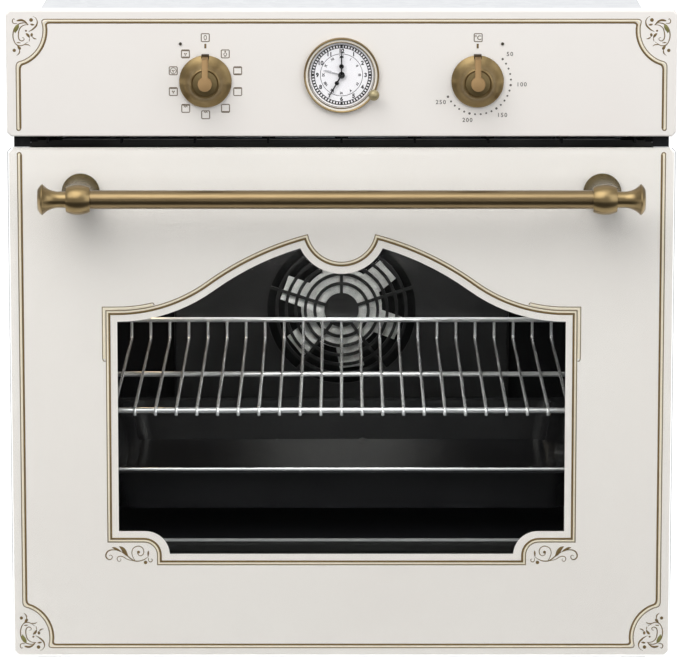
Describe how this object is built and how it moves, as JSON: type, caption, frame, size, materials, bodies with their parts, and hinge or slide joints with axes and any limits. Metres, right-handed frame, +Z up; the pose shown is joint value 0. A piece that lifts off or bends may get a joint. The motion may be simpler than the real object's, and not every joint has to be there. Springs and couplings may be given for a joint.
{
  "type": "built-in oven",
  "caption": "Built-in electric oven with a cream glass drop-down door, shaped window, bar handle, knobs, analogue clock, fan and wire shelf; fits a 60 cm kitchen niche.",
  "frame": {"origin": "bottom centre of the whole part's box, under the casing floor", "axes": "+Z up, +Y from the door into the oven, +X to the right seen from the front"},
  "size_m": [0.594, 0.6277, 0.5905],
  "materials": {
    "cream_enamel": "gloss enamel",
    "cream_print": "gloss print",
    "clear_glass": "clear",
    "antique_bronze": "brushed antique",
    "chromed_wire": "bright",
    "black_enamel": "gloss black",
    "zinc_sheet": "galvanised",
    "front_steel": "satin",
    "bright_steel": "zinc plated",
    "heater_steel": "oxidised",
    "cast_aluminium": "satin",
    "motor_steel": "satin",
    "black_plastic": "matt",
    "pale_plastic": "matt",
    "wool_jacket": "mineral wool",
    "grey_seal": "matt",
    "dial_white": "satin",
    "hand_black": "satin"
  },
  "bodies": {
    "chassis": {"control_panel": "cream_enamel", "clock_lens": "clear_glass", "lamp_glass": "clear_glass", "clock_bezel": "antique_bronze", "wire_racks": "chromed_wire", "cavity_shell": "black_enamel", "cavity_rear_wall": "black_enamel", "fan_baffle": "black_enamel", "base_tray": "zinc_sheet", "side_casings": "zinc_sheet", "top_cover": "zinc_sheet", "rear_cover": "zinc_sheet", "cooling_duct": "zinc_sheet", "panel_carrier": "zinc_sheet", "front_frame": "front_steel", "hinge_claws": "front_steel", "hinge_receivers": "front_steel", "casing_screws": "bright_steel", "thermostat_probe": "bright_steel", "ring_element": "heater_steel", "grill_element": "heater_steel", "fan_motor": "motor_steel", "cooling_motor": "motor_steel", "vent_trim": "black_plastic", "clock_case": "black_plastic", "selector_switch": "black_plastic", "pilot_lamps": "black_plastic", "cable_gland": "black_plastic", "thermostat_body": "pale_plastic", "terminal_block": "pale_plastic", "lamp_holder": "pale_plastic", "insulation": "wool_jacket", "door_gasket": "grey_seal", "clock_dial": "dial_white"},
    "door": {"door_glass": "clear_glass", "door_enamel": "cream_print", "door_mid_glass": "clear_glass", "door_inner_glass": "clear_glass", "door_columns": "cast_aluminium", "door_top_trim": "cast_aluminium", "door_bottom_rail": "cast_aluminium", "handle_bar": "antique_bronze", "handle_posts": "antique_bronze", "handle_finials": "antique_bronze", "hinge_bodies": "front_steel", "hinge_pins": "bright_steel", "hinge_springs": "bright_steel"},
    "function_selector": {"function_knob": "antique_bronze", "function_spindle": "front_steel"},
    "temperature_selector": {"temperature_knob": "antique_bronze", "temperature_spindle": "front_steel"},
    "minute": {"minute_hand": "hand_black"},
    "hour": {"hour_hand": "hand_black"},
    "alarm": {"alarm_hand": "hand_black"},
    "setting_slide": {"setting_sleeve": "antique_bronze"},
    "setting_turner": {"setting_knob": "antique_bronze"},
    "fan": {"fan_wheel": "cast_aluminium"},
    "blower": {"cooling_wheel": "black_plastic"},
    "shelf": {"wire_shelf": "chromed_wire"},
    "tray": {"baking_tray": "black_enamel"}
  },
  "joints": [
    {"name": "door_hinge", "type": "hinge", "parent": "chassis", "child": "door", "pos_m": [0, -0.23913, 0.02], "axis": [1, 0, 0], "range_deg": [0, 90], "stiffness_Nm_per_rad": 8, "springref_deg": -20.05},
    {"name": "function_turn", "type": "hinge", "parent": "chassis", "child": "function_selector", "pos_m": [-0.1205, -0.25512, 0.5275], "axis": [0, 1, 0], "continuous": true},
    {"name": "temperature_turn", "type": "hinge", "parent": "chassis", "child": "temperature_selector", "pos_m": [0.1205, -0.25512, 0.5275], "axis": [0, 1, 0], "range_deg": [0, 245]},
    {"name": "minute_turn", "type": "hinge", "parent": "chassis", "child": "minute", "pos_m": [0, -0.25512, 0.533], "axis": [0, 1, 0], "continuous": true},
    {"name": "hour_turn", "type": "hinge", "parent": "chassis", "child": "hour", "pos_m": [0, -0.25512, 0.533], "axis": [0, 1, 0], "continuous": true},
    {"name": "alarm_turn", "type": "hinge", "parent": "chassis", "child": "alarm", "pos_m": [0, -0.25512, 0.533], "axis": [0, 1, 0], "continuous": true},
    {"name": "setting_press", "type": "slide", "parent": "chassis", "child": "setting_slide", "axis": [0, 1, 0], "range_m": [0, 0.002], "stiffness_N_per_m": 300},
    {"name": "setting_turn", "type": "hinge", "parent": "setting_slide", "child": "setting_turner", "pos_m": [0.02858, -0.25512, 0.5165], "axis": [0, 1, 0], "continuous": true},
    {"name": "fan_spin", "type": "hinge", "parent": "chassis", "child": "fan", "pos_m": [0, 0.19487, 0.248], "axis": [0, 1, 0], "continuous": true},
    {"name": "blower_spin", "type": "hinge", "parent": "chassis", "child": "blower", "pos_m": [0, 0.14488, 0.48], "axis": [0, 0, 1], "continuous": true},
    {"name": "shelf_slide", "type": "slide", "parent": "chassis", "child": "shelf", "axis": [0, -1, 0], "range_m": [0, 0.018]},
    {"name": "tray_slide", "type": "slide", "parent": "chassis", "child": "tray", "axis": [0, -1, 0], "range_m": [0, 0.018]}
  ],
  "couplings": [
    {"joint": "hour_turn", "follows": "minute_turn", "ratio": 0.083333},
    {"joint": "alarm_turn", "follows": "setting_turn", "ratio": 0.25}
  ]
}
